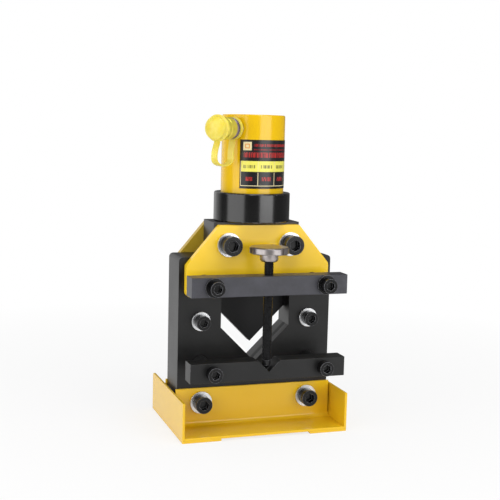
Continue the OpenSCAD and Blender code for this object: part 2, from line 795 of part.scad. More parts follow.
module plain_bar(z0) {
    c = 1;
    difference() {
        translate([-bar_l / 2, 0, 0]) rotate([90, 0, 90]) linear_extrude(bar_l)
            polygon(rounded([[bar_front, z0], [bar_back, z0], [bar_back, z0 + bar_h],
                [bar_front, z0 + bar_h]], [c, c, c, c]));
        both(bolt_x) bar_y(0, z0 + bar_h / 2, bar_bolt_d / 2 + bolt_gap, bar_front - 1, bar_back + 1);
    }
}

module upper_bar() {
    color([0.28, 0.28, 0.3]) on_axis() difference() {
        plain_bar(upper_bar_z);
        translate([0, bar_y, upper_bar_z - 1]) cylinder(r = screw_d / 2 + run_gap, h = bar_h + 2, $fn = 64);
    }
}

module lower_bar() {
    deep = lower_bar_top - vee_z;
    color([0.28, 0.28, 0.3]) on_axis() difference() {
        plain_bar(lower_bar_top - bar_h);
        slab([[0, vee_z], [deep + 2, lower_bar_top + 2], [-deep - 2, lower_bar_top + 2]], bar_front - 1,
            bar_back + 1);
    }
}

module spacer_pair(z, y1) {
    both(bolt_x) difference() {
        bar_y(0, z, spacer_d / 2, bar_back, y1);
        bar_y(0, z, bar_bolt_d / 2 + bolt_gap, bar_back - 1, y1 + 1);
    }
}

module upper_spacers() {
    color([0.16, 0.16, 0.17]) on_axis() spacer_pair(upper_bolt_z, gusset_front);
}

module lower_spacers() {
    color([0.16, 0.16, 0.17]) on_axis() spacer_pair(lower_bolt_z, front_y);
}

module upper_bar_bolts() {
    color([0.1, 0.1, 0.1]) on_axis() both(bolt_x) translate([0, bar_front - washer_t, upper_bolt_z])
        cap_screw(bar_bolt_d, bolt_end - bar_front + washer_t, 1.5 * bar_bolt_d, bar_bolt_d);
}

module upper_bar_washers() {
    color([0.1, 0.1, 0.1]) on_axis() both(bolt_x) translate([0, bar_front - washer_t, upper_bolt_z])
        washer(2 * bar_bolt_d, bar_bolt_d + 2 * bolt_gap, washer_t);
}

module lower_bar_bolts() {
    color([0.1, 0.1, 0.1]) on_axis() both(bolt_x) translate([0, bar_front, lower_bolt_z])
        cap_screw(bar_bolt_d, bolt_end - bar_front, 1.5 * bar_bolt_d, bar_bolt_d);
}

module body_bolts() {
    color([0.1, 0.1, 0.1]) on_axis() both(bolt_x) translate([0, front_y - washer_t, body_bolt_z])
        cap_screw(bar_bolt_d, bolt_end - front_y + washer_t, 1.5 * bar_bolt_d, bar_bolt_d);
}

module body_washers() {
    color([0.85, 0.86, 0.88]) on_axis() both(bolt_x) translate([0, front_y - washer_t, body_bolt_z])
        washer(2 * bar_bolt_d, bar_bolt_d + 2 * bolt_gap, washer_t);
}

// Bent sheet: a leg against the body and a floor that runs out to the edge of the base
module base_angle(turn) {
    edge = -base_d / 2;
    r_out = bend_r + sheet;
    x = floor_half;
    leg_half = body_w / 2 + leg_side;
    color([0.85, 0.69, 0.17]) on_axis() rotate([0, 0, turn]) difference() {
        translate([-x, 0, 0]) rotate([90, 0, 90]) linear_extrude(2 * x) polygon(concat(
            [[edge, foot_t], [front_y - r_out, foot_t]],
            arc([front_y - r_out, foot_t + r_out], r_out, -90, 0, 8),
            [[front_y, leg_top], [leg_front, leg_top]],
            arc([front_y - r_out, foot_t + r_out], bend_r, 0, -90, 8),
            [[edge, floor_z]]));
        both(base_bolt_x) bar_y(0, base_bolt_z, base_bolt_d / 2 + bolt_gap, leg_front - 1, front_y + 1);
        for (side = [-1, 1]) translate([side * (leg_half + x) / 2, front_y, foot_t + r_out + leg_top / 2])
            cube([x - leg_half, 4 * r_out, leg_top], center = true);
    }
}

module base_front_angle() {
    base_angle(0);
}

module base_rear_angle() {
    base_angle(180);
}

module side_plate() {
    h = base_d / 2;
    color([0.85, 0.7, 0.25]) on_axis() translate([-base_w / 2, 0, 0]) rotate([90, 0, 90])
        linear_extrude(sheet)
            polygon(rounded([[-h, foot_t], [h, foot_t], [h, side_top], [-h, side_top]], [0, 0, side_r, 0.5]));
}

module base_left_side() {
    side_plate();
}

module base_right_side() {
    mirror([1, 0, 0]) side_plate();
}

module base_feet() {
    h = base_d / 2;
    color([0.85, 0.69, 0.17]) on_axis() for (side = [0, 1]) mirror([side, 0, 0])
        translate([-base_w / 2, -h, 0]) cube([foot_w, base_d, foot_t]);
}

module base_bolts() {
    color([0.1, 0.1, 0.1]) on_axis() front_and_back() both(base_bolt_x)
        translate([0, base_washer_y, base_bolt_z])
            cap_screw(base_bolt_d, sheet + washer_t + base_bolt_deep, 1.5 * base_bolt_d, base_bolt_d);
}

module base_washers() {
    color([0.85, 0.86, 0.88]) on_axis() front_and_back() both(base_bolt_x)
        translate([0, base_washer_y, base_bolt_z])
            washer(2 * base_bolt_d, base_bolt_d + 2 * bolt_gap, washer_t);
}

// Thin curved plate on the barrel
module data_plate() {
    r0 = barrel_d / 2 + skin;
    color([0.08, 0.08, 0.09]) on_axis() rotate([0, 0, -90 - plate_left])
        rotate_extrude(angle = plate_span, $fn = ring_fn)
            translate([r0, plate_z0]) square([plate_t, plate_h]);
}

module coupler_adapter() {
    r = neck_round_d / 2;
    flange = r + 3;
    color([0.66, 0.67, 0.69]) on_axis() on_coupler() difference() {
        turned_s([[0, adapter_seat], [r, adapter_seat], [r, coupler_start - flange_t],
            [flange, coupler_start - flange_t], [flange, coupler_start], [0, coupler_start]]);
        bar_s(oil_r, adapter_seat - 1, coupler_start + 1, 32);
    }
}

module coupler_body() {
    r = grip_d / 2;
    n = nozzle_d / 2;
    color([0.82, 0.76, 0.3]) on_axis() on_coupler() turned_s([[oil_r, coupler_start], [r - 1, coupler_start],
        [r, coupler_start + 1], [r, nozzle_start - 1], [r - 1, nozzle_start], [n, nozzle_start],
        [n, nozzle_end - 0.8], [n - 0.8, nozzle_end], [stem_r + run_gap, nozzle_end],
        [stem_r + run_gap, seat_s], [chamber_r, seat_s], [chamber_r, chamber_s], [oil_r, chamber_s]]);
}

module coupler_poppet() {
    head_s1 = seat_s - poppet_play;
    color([0.55, 0.56, 0.58]) on_axis() on_coupler() turned_s([[0, head_s1 - poppet_head],
        [chamber_r - 0.5, head_s1 - poppet_head], [chamber_r - 0.5, head_s1], [stem_r, head_s1],
        [stem_r, nozzle_end - 1.3], [stem_r - 0.5, nozzle_end - 0.8], [0, nozzle_end - 0.8]]);
}

module coupler_spring() {
    s1 = seat_s - poppet_play - poppet_head;
    s0 = chamber_s + poppet_travel + 0.5;
    color([0.7, 0.71, 0.73]) on_axis() on_coupler() difference() {
        bar_s(chamber_r - 1, s0, s1, 48);
        bar_s(chamber_r - 2, s0 - 1, s1 + 1, 48);
    }
}

module dust_cap() {
    r = cap_d / 2;
    inner = nozzle_d / 2 + cap_gap;
    floor_s = cap_s1 - cap_end;
    dome = [for (a = [0 : 7.5 : 90]) [r * cos(a), cap_s1 - cap_dome + cap_dome * sin(a)]];
    color([0.95, 0.85, 0.35, 0.85]) on_axis() on_coupler() turned_s(concat([[inner, cap_s0],
        [cap_rim_r - 0.5, cap_s0], [cap_rim_r, cap_s0 + 0.5], [cap_rim_r, cap_s0 + cap_rim_l - 0.5],
        [cap_rim_r - 0.5, cap_s0 + cap_rim_l], [r, cap_s0 + cap_rim_l]], dome,
        [[0, floor_s], [inner, floor_s]]));
}

// Strap of the cap: a loop that hangs from the cap, turns and comes back up to a ring on the neck
strap_in = strap_ring_s;
strap_out = cap_s0 + cap_rim_l / 2;
strap_top_in = -(neck_round_d / 2 + 0.3 + strap_ring_t - 0.4);
strap_top_out = -(cap_rim_r + cap_gap + strap_t / 4);
strap_turn = 8;
strap_turn_z = -strap_drop + strap_turn;
strap_bulge = 5.5;
function loop_side(s, top, bulge) = [for (i = [0 : 8]) let (t = i / 8)
    [s + bulge * sin(105 * t) / sin(105), top + (strap_turn_z - top) * t]];
strap_mid = (strap_in + 3 + strap_out + strap_bulge) / 2;
strap_half = (strap_out + strap_bulge - strap_in - 3) / 2;
strap_path = concat(loop_side(strap_out, strap_top_out, strap_bulge),
    [for (i = [1 : 7]) let (a = 180 * i / 8)
        [strap_mid + strap_half * cos(a), strap_turn_z - strap_turn * sin(a)]],
    [for (i = [8 : -1 : 0]) loop_side(strap_in, strap_top_in, 3)[i]]);
function path_normal(p, i) = let (a = p[max(i - 1, 0)], b = p[min(i + 1, len(p) - 1)], d = b - a)
    [-d[1], d[0]] / norm(d);
module cap_strap() {
    last = len(strap_path) - 1;
    outer = [for (i = [0 : last]) strap_path[i] + path_normal(strap_path, i) * strap_t / 2];
    inner = [for (i = [last : -1 : 0]) strap_path[i] - path_normal(strap_path, i) * strap_t / 2];
    ring_r = neck_round_d / 2 + 0.3;
    color([0.95, 0.85, 0.35, 0.85]) on_axis() on_coupler() {
        rotate([90, 0, 0]) translate([0, 0, -strap_w / 2]) linear_extrude(strap_w)
            polygon(concat(outer, inner));
        difference() {
            bar_s(ring_r + strap_ring_t, strap_in - strap_ring_w / 2, strap_in + strap_ring_w / 2);
            bar_s(ring_r, strap_in - strap_ring_w, strap_in + strap_ring_w);
        }
    }
}

module screw_nose() {
    r = nose_d / 2;
    top = nose_tip_z + nose_l;
    color([0.15, 0.15, 0.16]) on_axis() translate([0, bar_y, 0]) rotate_extrude($fn = 64) polygon([
        [0, nose_tip_z], [0.6, nose_tip_z], [r, nose_tip_z + (r - 0.6) / 0.9], [r, top],
        [tip_pin_d / 2 + run_gap, top], [tip_pin_d / 2 + run_gap, top - pin_l - run_gap],
        [0, top - pin_l - run_gap]]);
}

module clamp_screw() {
    color([0.12, 0.12, 0.13]) on_axis() translate([0, bar_y, 0]) difference() {
        rotate_extrude($fn = 64) polygon([[0, screw_z0 - pin_l], [tip_pin_d / 2, screw_z0 - pin_l],
            [tip_pin_d / 2, screw_z0], [screw_d / 2 - 0.6, screw_z0], [screw_d / 2, screw_z0 + 0.6],
            [screw_d / 2, hub_z0], [screw_spigot_d / 2, hub_z0],
            [screw_spigot_d / 2, knob_bore_top - skin], [0, knob_bore_top - skin]]);
        knob_pin_bar(skin);
    }
}

module knob_pin_bar(g) {
    translate([-hub_d / 2 - g, 0, hub_z0 + hub_h * 0.55]) rotate([0, 90, 0])
        cylinder(r = knob_pin_d / 2 + g, h = hub_d + 2 * g, $fn = 24);
}

module knob() {
    r = knob_d / 2;
    h = hub_d / 2;
    color([0.7, 0.71, 0.73]) on_axis() translate([0, bar_y, 0]) difference() {
        rotate_extrude($fn = ring_fn) polygon([[0, knob_bore_top], [screw_spigot_d / 2 + skin, knob_bore_top],
            [screw_spigot_d / 2 + skin, hub_z0], [h - 3, hub_z0], [h - 0.8, hub_z0 + 1.6], [h, hub_z0 + 3.6],
            [h, knob_z], [r - 1, knob_z], [r, knob_z + 1], [r, knob_z + knob_t - 1], [r - 1, knob_z + knob_t],
            [0, knob_z + knob_t]]);
        for (i = [0 : knob_notches - 1]) rotate([0, 0, 360 * i / knob_notches + notch_turn])
            translate([r - notch_deep, -notch_w / 2, knob_z - 1]) cube([notch_deep + 2, notch_w, knob_t + 2]);
        knob_pin_bar(skin);
    }
}

module knob_pin() {
    color([0.5, 0.5, 0.52]) on_axis() translate([0, bar_y, 0]) intersection() {
        knob_pin_bar(0);
        translate([0, 0, hub_z0]) cylinder(r = hub_d / 2 - 0.1, h = hub_h, $fn = 64);
    }
}

front_plate();
rear_plate();
fixed_blade();
fixed_blade_screws();
guide_left();
guide_right();
guide_screws();
head_block();
collar();
barrel();
rod_bush();
wiper_ring();
return_spring();
piston();
piston_seal();
wear_ring();
piston_screw();
ram_rod();
blade_holder();
holder_pin();
moving_blade();
blade_screws();
front_gusset();
rear_gusset();
gusset_bolts();
gusset_washers();
rear_lower_bolts();
rear_lower_washers();
upper_bar();
lower_bar();
upper_spacers();
lower_spacers();
upper_bar_bolts();
upper_bar_washers();
lower_bar_bolts();
body_bolts();
body_washers();
base_front_angle();
base_rear_angle();
base_left_side();
base_right_side();
base_feet();
base_bolts();
base_washers();
data_plate();
coupler_adapter();
coupler_body();
coupler_poppet();
coupler_spring();
dust_cap();
cap_strap();
screw_nose();
clamp_screw();
knob();
knob_pin();
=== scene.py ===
import math

import bpy
from mathutils import Matrix, Vector


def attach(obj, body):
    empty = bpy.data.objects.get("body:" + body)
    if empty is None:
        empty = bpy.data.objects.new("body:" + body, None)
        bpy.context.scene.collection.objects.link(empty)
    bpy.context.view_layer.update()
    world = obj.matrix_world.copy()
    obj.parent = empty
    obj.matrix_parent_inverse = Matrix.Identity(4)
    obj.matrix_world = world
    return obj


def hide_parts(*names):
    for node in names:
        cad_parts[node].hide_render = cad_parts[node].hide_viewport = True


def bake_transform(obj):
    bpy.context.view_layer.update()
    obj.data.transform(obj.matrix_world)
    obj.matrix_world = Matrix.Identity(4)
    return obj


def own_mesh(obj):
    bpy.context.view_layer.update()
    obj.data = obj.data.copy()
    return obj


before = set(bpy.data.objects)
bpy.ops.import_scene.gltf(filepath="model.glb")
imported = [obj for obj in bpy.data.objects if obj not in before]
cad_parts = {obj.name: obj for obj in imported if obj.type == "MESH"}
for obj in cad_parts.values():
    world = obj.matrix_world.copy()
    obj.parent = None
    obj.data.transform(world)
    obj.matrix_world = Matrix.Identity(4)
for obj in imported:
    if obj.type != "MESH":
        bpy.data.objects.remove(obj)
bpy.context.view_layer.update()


# Camera: to the left of the front, level with the barrel, looking a little down and slightly rolled.
# The lens and the place were fitted to the edges of the body, the bars and the base.
camera_place = (-0.39767, -1.15734, 0.37251)
camera_left = 18.80
camera_down = 6.98
camera_roll = 1.42
bpy.ops.object.camera_add(location=camera_place)
camera = bpy.context.active_object
camera.rotation_euler = (Matrix.Rotation(math.radians(-camera_left), 3, "Z")
                         @ Matrix.Rotation(math.radians(90 - camera_down), 3, "X")
                         @ Matrix.Rotation(math.radians(camera_roll), 3, "Z")).to_euler()
camera.data.lens = 70.2
camera.data.sensor_width = 36
camera.data.clip_start = 0.01
bpy.context.scene.camera = camera
bpy.context.scene.view_settings.view_transform = "Standard"


# Studio: a pale floor and a white surround, with tall soft boxes to the left and the right
# of the camera that leave broad upright bands on the cylinder, and one above.
class Value:
    """A socket of a finish. Arithmetic on it adds the Math nodes."""

    def __init__(self, finish, socket):
        self.finish = finish
        self.socket = socket

    def maths(self, operation, *operands):
        return self.finish.node("ShaderNodeMath", {"operation": operation}, dict(enumerate(operands)))

    def __add__(self, other):
        return self.maths("ADD", self, other)

    def __radd__(self, other):
        return self.maths("ADD", other, self)

    def __sub__(self, other):
        return self.maths("SUBTRACT", self, other)

    def __rsub__(self, other):
        return self.maths("SUBTRACT", other, self)

    def __mul__(self, other):
        return self.maths("MULTIPLY", self, other)

    def __rmul__(self, other):
        return self.maths("MULTIPLY", other, self)

    def between(self, low, high):
        """1 where the value lies between the two limits, else 0."""
        return self.maths("GREATER_THAN", self, low) * self.maths("LESS_THAN", self, high)

    def rise(self, low, high):
        """Climbs from 0 at low to 1 at high."""
        return self.finish.node("ShaderNodeMapRange", {}, {"Value": self, "From Min": low, "From Max": high})


class Finish:
    """The nodes of one material."""

    def __init__(self, name, tree=None):
        if tree is None:
            self.material = bpy.data.materials.new(name)
            self.material.use_nodes = True
            tree = self.material.node_tree
            tree.nodes.clear()
            self.shader = tree.nodes.new("ShaderNodeBsdfPrincipled")
            output = tree.nodes.new("ShaderNodeOutputMaterial")
            tree.links.new(self.shader.outputs[0], output.inputs[0])
        self.tree = tree

    def node(self, kind, settings=None, inputs=None, output=0):
        """Adds a node: its settings first, then the values or links of its sockets."""
        made = self.tree.nodes.new(kind)
        for name, setting in (settings or {}).items():
            if name == "stops":
                for i, (place, colour) in enumerate(setting):
                    stop = made.color_ramp.elements[i] if i < 2 else made.color_ramp.elements.new(place)
                    stop.position = place
                    stop.color = colour
            else:
                setattr(made, name, setting)
        self.feed(made, inputs or {})
        return Value(self, made.outputs[output])

    def feed(self, node, inputs):
        for name, value in inputs.items():
            if isinstance(value, Value):
                self.tree.links.new(value.socket, node.inputs[name])
            else:
                node.inputs[name].default_value = value

    def surface(self, **inputs):
        """Feeds the shader's sockets and gives the finished material."""
        self.feed(self.shader, {name.replace("_", " "): value for name, value in inputs.items()})
        return self.material

    def place(self, centre=(0, 0, 0), scale=(1, 1, 1)):
        """The object's own coordinates, counted from a centre and scaled."""
        at = self.node("ShaderNodeTexCoord", output="Object")
        shift = tuple(-c * s for c, s in zip(centre, scale))
        return self.node("ShaderNodeMapping", {}, {"Vector": at, "Location": shift, "Scale": scale})

    def cloud(self, size, detail=3.0, rough=0.55, at=None):
        """Soft random mottling with patches of about the given size."""
        return self.node("ShaderNodeTexNoise", {}, {"Vector": at or self.place(), "Scale": 1 / size,
                                                    "Detail": detail, "Roughness": rough})

    def mixed(self, factor, first, second):
        return self.node("ShaderNodeMix", {"data_type": "RGBA"}, {0: factor, 6: first, 7: second}, 2)

    def bumps(self, height, distance, strength=1.0):
        return self.node("ShaderNodeBump", {}, {"Height": height, "Distance": distance, "Strength": strength})


def seen_rays(finish):
    """1 for the rays that show the background: from the camera, a reflection or through glass."""
    return (finish.node("ShaderNodeLightPath", output="Is Camera Ray")
            + finish.node("ShaderNodeLightPath", output="Is Glossy Ray")
            + finish.node("ShaderNodeLightPath", output="Is Transmission Ray"))


def pale_floor():
    """Off-white paint that takes the object's shadow and fades to the white of the surround."""
    finish = Finish("pale_floor")
    shade = finish.cloud(0.4, 2) * 0.02 + 0.9
    grey = finish.node("ShaderNodeCombineColor", {}, {0: shade, 1: shade, 2: shade})
    material = finish.surface(Base_Color=grey, Roughness=0.9, Specular_IOR_Level=0.1)
    white = finish.node("ShaderNodeEmission", {}, {"Color": (1, 1, 1, 1), "Strength": 1.0})
    distance = finish.node("ShaderNodeVectorMath", {"operation": "LENGTH"}, {0: finish.place()}, 1)
    cover = distance.rise(0.25, 0.9) * 0.25 + 0.75
    lit = finish.node("ShaderNodeMixShader", {}, {0: seen_rays(finish) * cover,
                                                  1: Value(finish, finish.shader.outputs[0]), 2: white})
    output = next(n for n in finish.tree.nodes if n.type == "OUTPUT_MATERIAL")
    finish.tree.links.new(lit.socket, output.inputs[0])
    return material


bpy.ops.mesh.primitive_plane_add(size=2.2, location=(0, 0, -0.0002))
floor = bpy.context.active_object
floor.name = "studio_floor"
floor.data.materials.append(pale_floor())

world = bpy.data.worlds.new("white_surround")
bpy.context.scene.world = world
world.use_nodes = True
surround = Finish("surround", world.node_tree)
background = next(n for n in world.node_tree.nodes if n.type == "BACKGROUND")
mirrored = surround.node("ShaderNodeLightPath", output="Is Glossy Ray")
toward = surround.node("ShaderNodeTexCoord", output="Generated")
behind = surround.node("ShaderNodeSeparateXYZ", {}, {"Vector": toward}, "Y").rise(0.5, 0.95)
leftward = 1 - surround.node("ShaderNodeSeparateXYZ", {}, {"Vector": toward}, "X").rise(-0.25, 0.3)
# Reflections see a dim room, bright only behind the machine and to its left.
dimmed = mirrored * (1 - behind * leftward) * 0.86
surround.feed(background, {"Color": (1, 1, 1, 1), "Strength": 0.5 + seen_rays(surround) * 0.5 - dimmed})


def soft_box(name, place, target, width, height, power):
    """An oblong lamp that faces the target."""
    bpy.ops.object.light_add(type="AREA", location=place)
    lamp = bpy.context.active_object
    lamp.name = name
    lamp.data.shape = "RECTANGLE"
    lamp.data.size = width
    lamp.data.size_y = height
    lamp.data.energy = power
    lamp.rotation_euler = (Vector(target) - Vector(place)).to_track_quat("-Z", "Y").to_euler()


soft_box("left_box", (-1.21, -0.5, 0.5), target=(0, 0, 0.4), width=1.37, height=1.2, power=9.5)
soft_box("right_box", (0.65, -1.28, 0.36), target=(0, 0, 0.36), width=1.1, height=0.56, power=6)
soft_box("top_box", (0.1, -0.5, 1.5), target=(0, 0, 0.2), width=0.9, height=0.9, power=9)


# Base: sheet steel, 3 mm, cut and bent. Two angles hold the body between them, two side plates
# are welded to their ends, and a flat strip under each end is the foot. All of it is enamelled.
def softened(node, name, body, material, width=0.0005, segments=2):
    """A copy of a CAD piece with its sharp edges broken, as they are before painting."""
    bpy.ops.object.select_all(action="DESELECT")
    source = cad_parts[node]
    source.select_set(True)
    bpy.context.view_layer.objects.active = source
    bpy.ops.object.duplicate()
    piece = bpy.context.active_object
    piece.name = name
    piece.parent = None
    piece.matrix_world = Matrix.Identity(4)
    bpy.ops.object.mode_set(mode="EDIT")
    bpy.ops.mesh.select_all(action="SELECT")
    bpy.ops.mesh.remove_doubles(threshold=0.000002)
    bpy.ops.mesh.dissolve_limited(angle_limit=math.radians(0.6))
    bpy.ops.object.mode_set(mode="OBJECT")
    dressed(piece, node, body, material, width, segments)
    return piece


def dressed(piece, node, body, material, width=0.0005, segments=2, angle=35):
    """Bevels and smooths a piece, marks its broken edges, and puts it in place of its node."""
    bpy.ops.object.select_all(action="DESELECT")
    piece.select_set(True)
    bpy.context.view_layer.objects.active = piece
    piece.data.materials.clear()
    piece.data.materials.append(material)
    piece.data.materials.append(material)
    for face in piece.data.polygons:
        face.material_index = 0
    if width:
        bevel = piece.modifiers.new("edges", "BEVEL")
        bevel.width = width
        bevel.segments = segments
        bevel.limit_method = "ANGLE"
        bevel.angle_limit = math.radians(angle)
        bevel.material = 1
        bpy.ops.object.modifier_apply(modifier=bevel.name)
    worn = piece.data.attributes.new("edge", "FLOAT", "FACE")
    for face in piece.data.polygons:
        worn.data[face.index].value = float(face.material_index == 1)
        face.material_index = 0
    piece.data.materials.pop(index=1)
    bpy.ops.object.shade_smooth_by_angle(angle=math.radians(angle))
    flat = piece.modifiers.new("flat_faces", "WEIGHTED_NORMAL")
    flat.keep_sharp = True
    flat.weight = 100
    bpy.ops.object.modifier_apply(modifier=flat.name)
    if body:
        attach(piece, body)
    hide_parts(node)
    return piece


def enamel(name, colour, pale, rough, shine=0.5):
    """Thick sprayed enamel: even colour, faint orange peel, thin and pale at the edges."""
    finish = Finish(name)
    drift = finish.cloud(0.06, 2)
    fleck = finish.cloud(0.004, 4)
    edge = finish.node("ShaderNodeAttribute", {"attribute_name": "edge"}, output="Fac")
    body = finish.mixed(drift.rise(0.35, 0.7) * 0.35, colour, pale)
    chipped = edge * finish.cloud(0.003, 3).rise(0.62, 0.7)
    shown = finish.mixed(edge * 0.25, body, pale)
    primer = (0.2, 0.17, 0.14, 1)
    shown = finish.mixed(chipped * 0.6, shown, primer)
    peel = finish.cloud(0.0022, 2)
    return finish.surface(Base_Color=shown, Roughness=rough + fleck * 0.08 + chipped * 0.2,
                          Specular_IOR_Level=shine,
                          Normal=finish.bumps(peel + fleck * 0.1 - chipped, 0.000014, 0.7))


frame_enamel = enamel("frame_enamel", (0.84, 0.51, 0.008, 1), (0.87, 0.57, 0.03, 1), rough=0.14)
softened("base_feet", "foot_strips", "frame", frame_enamel)
softened("base_front_angle", "front_angle", "frame", frame_enamel, width=0.0006)
softened("base_rear_angle", "rear_angle", "frame", frame_enamel, width=0.0006)
softened("base_left_side", "left_side_plate", "frame", frame_enamel, width=0.0008)
softened("base_right_side", "right_side_plate", "frame", frame_enamel, width=0.0008)


# Body: two thick steel plates bolted face to face, milled all round and painted satin black.
# The window and its V go through both, and the moving blade slides in a channel between them.
def black_paint(name, shade, rough, brushed=0.0, shine=0.5, blue=1.02):
    """Thin black paint over a milled face: fine grain, smudges, bare metal at the edges."""
    finish = Finish(name)
    smudge = finish.cloud(0.035, 4, 0.6)
    grain = finish.cloud(0.0012, 3)
    lines = finish.cloud(0.0009, 2, at=finish.place(scale=(1, 1, 0.04)))
    edge = finish.node("ShaderNodeAttribute", {"attribute_name": "edge"}, output="Fac")
    bare = edge * finish.cloud(0.004, 3).rise(0.5, 0.62)
    dark = (shade * 0.8, shade * 0.8, shade * 0.8 * blue, 1)
    light = (shade * 1.5, shade * 1.5, shade * 1.5 * blue, 1)
    colour = finish.mixed(smudge.rise(0.35, 0.7), dark, light)
    worn_steel = (0.16, 0.16, 0.165, 1)
    colour = finish.mixed(bare * 0.55, colour, worn_steel)
    return finish.surface(Base_Color=colour, Roughness=rough + smudge * 0.12 + grain * 0.08,
                          Specular_IOR_Level=shine,
                          Normal=finish.bumps(grain + lines * brushed, 0.00002, 0.7))


body_black = black_paint("body_black", shade=0.007, rough=0.24, brushed=1.2, shine=0.35)
softened("rear_plate", "rear_body_plate", "frame", body_black, width=0.0006)
softened("front_plate", "front_body_plate", "frame", body_black, width=0.0006)


# Blades: hardened tool steel, ground on the faces and oiled. The fixed one is let into the back
# of the front plate, the moving one hangs from the holder and runs between bronze guide strips.
def ground_steel(name, colour, rough, direction=(1, 1, 0.03), metal=1.0, shine=0.5):
    """Ground or drawn steel: fine lines one way, a little oil film, brighter edges."""
    finish = Finish(name)
    lines = finish.cloud(0.0007, 3, at=finish.place(scale=direction))
    film = finish.cloud(0.02, 4, 0.6)
    edge = finish.node("ShaderNodeAttribute", {"attribute_name": "edge"}, output="Fac")
    low = tuple(c * 0.78 for c in colour[:3]) + (1,)
    high = tuple(min(1, c * 1.25) for c in colour[:3]) + (1,)
    shown = finish.mixed(film.rise(0.3, 0.7) * 0.6 + lines * 0.4, low, high)
    shown = finish.mixed(edge * 0.45, shown, tuple(min(1, c * 1.7) for c in colour[:3]) + (1,))
    return finish.surface(Base_Color=shown, Roughness=rough + lines * 0.12 + film * 0.1, Metallic=metal,
                          Specular_IOR_Level=shine,
                          Normal=finish.bumps(lines, 0.000012, 0.6))


blade_steel = ground_steel("blade_steel", (0.006, 0.006, 0.007, 1), rough=0.36, metal=0.0, shine=0.25)
softened("fixed_blade", "fixed_v_blade", "frame", blade_steel, width=0.0002)
softened("moving_blade", "moving_v_blade", "ram", blade_steel, width=0.0003)
guide_bronze = ground_steel("guide_bronze", (0.55, 0.36, 0.14, 1), rough=0.3)
softened("guide_left", "left_guide_strip", "frame", guide_bronze, width=0.0003)
softened("guide_right", "right_guide_strip", "frame", guide_bronze, width=0.0003)


# Head block and gusset plates: the block carries the cylinder on top of the body, and a yellow
# gusset plate front and back ties it to the two body plates. The rear one is duller, and its yellow is
# painted darker as painted shade.
head_black = black_paint("head_black", shade=0.016, rough=0.24, brushed=0.6)
softened("head_block", "cylinder_head_block", "frame", head_black, width=0.0006)
gusset_enamel = enamel("gusset_enamel", (0.98, 0.62, 0.012, 1), (1.0, 0.7, 0.05, 1), rough=0.18)
softened("front_gusset", "front_gusset_plate", "frame", gusset_enamel, width=0.0008)
# Painted shade: the rear plate takes the gusset yellow darkened, standing in for the shade it sits in.
rear_gusset_painted_shade = enamel("rear_gusset_painted_shade", (0.54, 0.36, 0.03, 1), (0.58, 0.42, 0.06, 1), rough=0.26, shine=0.3)
softened("rear_gusset", "rear_gusset_plate", "frame", rear_gusset_painted_shade, width=0.0008)


# Bars: two drawn square bars in front of the body, on turned sleeves. The angle bar lies in the
# notch of the lower one, and the hold-down screw runs through the upper one.
bar_black = black_paint("bar_black", shade=0.038, rough=0.3, brushed=0.4, blue=1.25)
softened("upper_bar", "upper_cross_bar", "frame", bar_black, width=0.0004)
# Painted shade: the lower bar's black is painted darker than the upper bar's, for the light falling off
# towards the bottom.
lower_bar_painted_shade = black_paint("lower_bar_painted_shade", shade=0.006, rough=0.3, brushed=0.4, shine=0.4)
softened("lower_bar", "lower_cross_bar", "frame", lower_bar_painted_shade, width=0.0004)
sleeve_black = black_paint("sleeve_black", shade=0.012, rough=0.34)
softened("upper_spacers", "upper_sleeves", "frame", sleeve_black, width=0.0005)
softened("lower_spacers", "lower_sleeves", "frame", sleeve_black, width=0.0005)


